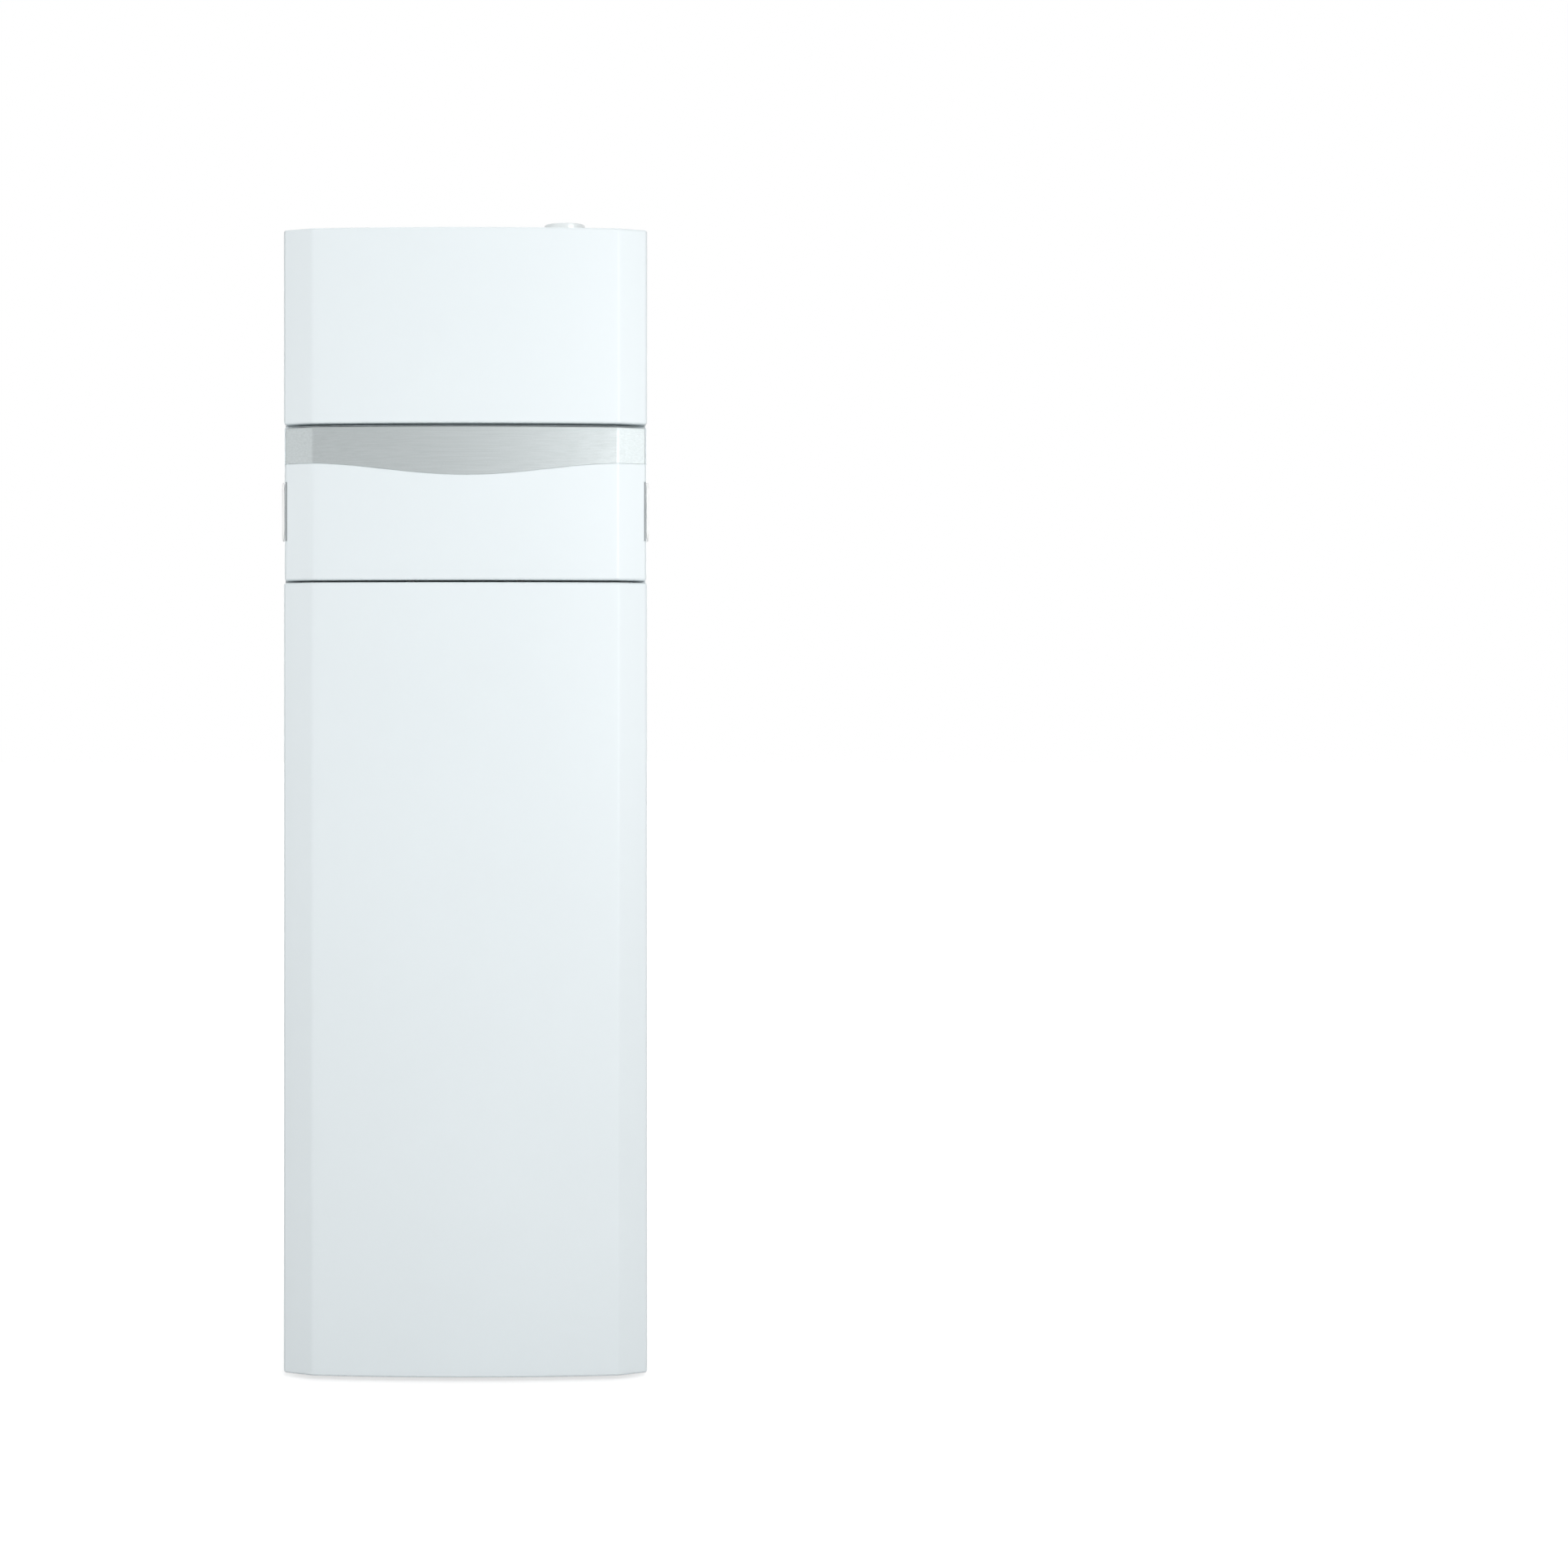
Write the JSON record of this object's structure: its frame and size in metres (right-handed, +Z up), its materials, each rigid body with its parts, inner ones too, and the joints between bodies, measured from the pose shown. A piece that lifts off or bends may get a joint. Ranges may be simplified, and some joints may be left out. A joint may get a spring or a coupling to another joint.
{
  "type": "floor standing gas boiler",
  "caption": "Tall white floor standing condensing boiler with a hot water store inside, lift-off front covers and a hinged control flap with a silver band.",
  "frame": {"origin": "on the floor under the middle of the cabinet", "axes": "+Z up, the front with the flap and covers looks along -Y, +X to the right of someone who faces the front"},
  "size_m": [0.6038, 0.693, 1.948],
  "materials": {
    "white_powder": "satin white powder coat with a very fine texture",
    "white_moulding": "satin white moulding",
    "silver_trim": "satin silver trim with a fine grain",
    "light_plastic": "light grey moulded plastic",
    "dark_plastic": "near black moulded plastic",
    "grey_plastic": "grey moulded plastic",
    "red_plastic": "red moulded plastic",
    "display_window": "dark glossy window",
    "galvanised_steel": "galvanised sheet with a soft spangle",
    "stainless_steel": "brushed stainless steel",
    "cast_aluminium": "die-cast aluminium",
    "cast_iron": "dark lacquered casting",
    "brass": "plain brass",
    "copper": "copper tube, slightly dulled",
    "red_enamel": "red gloss enamel",
    "tank_steel": "grey primed steel",
    "jacket_foam": "soft light grey foam with a matte skin"
  },
  "bodies": {
    "cabinet": {"base_tray": "galvanised_steel", "burner_door": "cast_aluminium", "cable_gland": "dark_plastic", "cold_water_pipe": "copper", "condensate_siphon": "light_plastic", "control_box": "grey_plastic", "control_fascia": "light_plastic", "control_rail": "galvanised_steel", "display": "display_window", "diverter_actuator": "grey_plastic", "diverter_valve": "brass", "drain_cock": "brass", "expansion_vessel": "red_enamel", "fan_housing": "cast_aluminium", "flap_bracket_left": "galvanised_steel", "flap_bracket_right": "galvanised_steel", "flue_adapter": "light_plastic", "flue_pipe": "light_plastic", "foot_front_left": "dark_plastic", "foot_front_right": "dark_plastic", "foot_rear_left": "dark_plastic", "foot_rear_right": "dark_plastic", "gas_pipe": "brass", "gas_valve": "cast_aluminium", "heat_exchanger": "stainless_steel", "heating_flow_pipe": "copper", "heating_return_pipe": "copper", "hot_water_pipe": "copper", "middle_shelf": "galvanised_steel", "module_shelf": "galvanised_steel", "pressure_gauge": "dark_plastic", "primary_flow_pipe": "copper", "primary_return_pipe": "copper", "pump_body": "cast_iron", "pump_head": "dark_plastic", "rear_panel": "galvanised_steel", "safety_valve": "brass", "side_panel_left": "white_powder", "side_panel_right": "white_powder", "storage_tank": "tank_steel", "tank_jacket_left": "jacket_foam", "tank_jacket_right": "jacket_foam", "top_panel": "white_powder"},
    "upper_cover": {"upper_cover": "white_powder"},
    "lower_cover": {"lower_cover": "white_powder"},
    "flap": {"flap_panel": "white_moulding", "flap_band": "silver_trim", "flap_grip_left": "light_plastic", "flap_grip_right": "light_plastic"},
    "heating_knob": {"heating_knob": "light_plastic"},
    "water_knob": {"water_knob": "light_plastic"},
    "left_button": {"left_button": "grey_plastic"},
    "middle_button": {"middle_button": "grey_plastic"},
    "right_button": {"right_button": "grey_plastic"},
    "power_switch": {"power_switch": "dark_plastic"},
    "gauge_needle": {"gauge_needle": "red_plastic"},
    "fan_impeller": {"fan_impeller": "dark_plastic"},
    "drain_lever": {"drain_lever": "red_plastic"},
    "gas_cock_lever": {"gas_cock_lever": "red_plastic"},
    "safety_valve_cap": {"safety_valve_cap": "red_plastic"}
  },
  "joints": [
    {"name": "flap_hinge", "type": "hinge", "parent": "cabinet", "child": "flap", "pos_m": [0, -0.334, 1.331], "axis": [1, 0, 0], "range_deg": [0, 90]},
    {"name": "upper_cover_slide", "type": "slide", "parent": "cabinet", "child": "upper_cover", "axis": [0, -1, 0], "range_m": [0, 0.3]},
    {"name": "lower_cover_slide", "type": "slide", "parent": "cabinet", "child": "lower_cover", "axis": [0, -1, 0], "range_m": [0, 0.3]},
    {"name": "heating_knob_turn", "type": "hinge", "parent": "cabinet", "child": "heating_knob", "pos_m": [-0.112, -0.2488, 1.45], "axis": [0, 1, 0], "range_deg": [-135, 135]},
    {"name": "water_knob_turn", "type": "hinge", "parent": "cabinet", "child": "water_knob", "pos_m": [0.112, -0.2488, 1.45], "axis": [0, 1, 0], "range_deg": [-135, 135]},
    {"name": "left_button_press", "type": "slide", "parent": "cabinet", "child": "left_button", "axis": [0, 1, 0], "range_m": [0, 0.002], "stiffness_N_per_m": 600, "springref_m": -0.001},
    {"name": "middle_button_press", "type": "slide", "parent": "cabinet", "child": "middle_button", "axis": [0, 1, 0], "range_m": [0, 0.002], "stiffness_N_per_m": 600, "springref_m": -0.001},
    {"name": "right_button_press", "type": "slide", "parent": "cabinet", "child": "right_button", "axis": [0, 1, 0], "range_m": [0, 0.002], "stiffness_N_per_m": 600, "springref_m": -0.001},
    {"name": "power_switch_rock", "type": "hinge", "parent": "cabinet", "child": "power_switch", "pos_m": [0.196, -0.2451, 1.45], "axis": [1, 0, 0], "range_deg": [-7, 7]},
    {"name": "needle_turn", "type": "hinge", "parent": "cabinet", "child": "gauge_needle", "pos_m": [-0.196, -0.2488, 1.45], "axis": [0, 1, 0], "range_deg": [-135, 135]},
    {"name": "fan_spin", "type": "hinge", "parent": "cabinet", "child": "fan_impeller", "pos_m": [-0.072, -0.116, 1.752], "axis": [0, 1, 0], "continuous": true},
    {"name": "drain_lever_turn", "type": "hinge", "parent": "cabinet", "child": "drain_lever", "pos_m": [0.05, -0.2113, 0.1783], "axis": [0, 0, -1], "range_deg": [0, 90]},
    {"name": "gas_lever_turn", "type": "hinge", "parent": "cabinet", "child": "gas_cock_lever", "pos_m": [0.24, -0.1, 1.6263], "axis": [0, 0, -1], "range_deg": [0, 90]},
    {"name": "safety_cap_turn", "type": "hinge", "parent": "cabinet", "child": "safety_valve_cap", "pos_m": [0.09, -0.13, 1.1643], "axis": [0, 0, 1], "range_deg": [0, 90]}
  ]
}
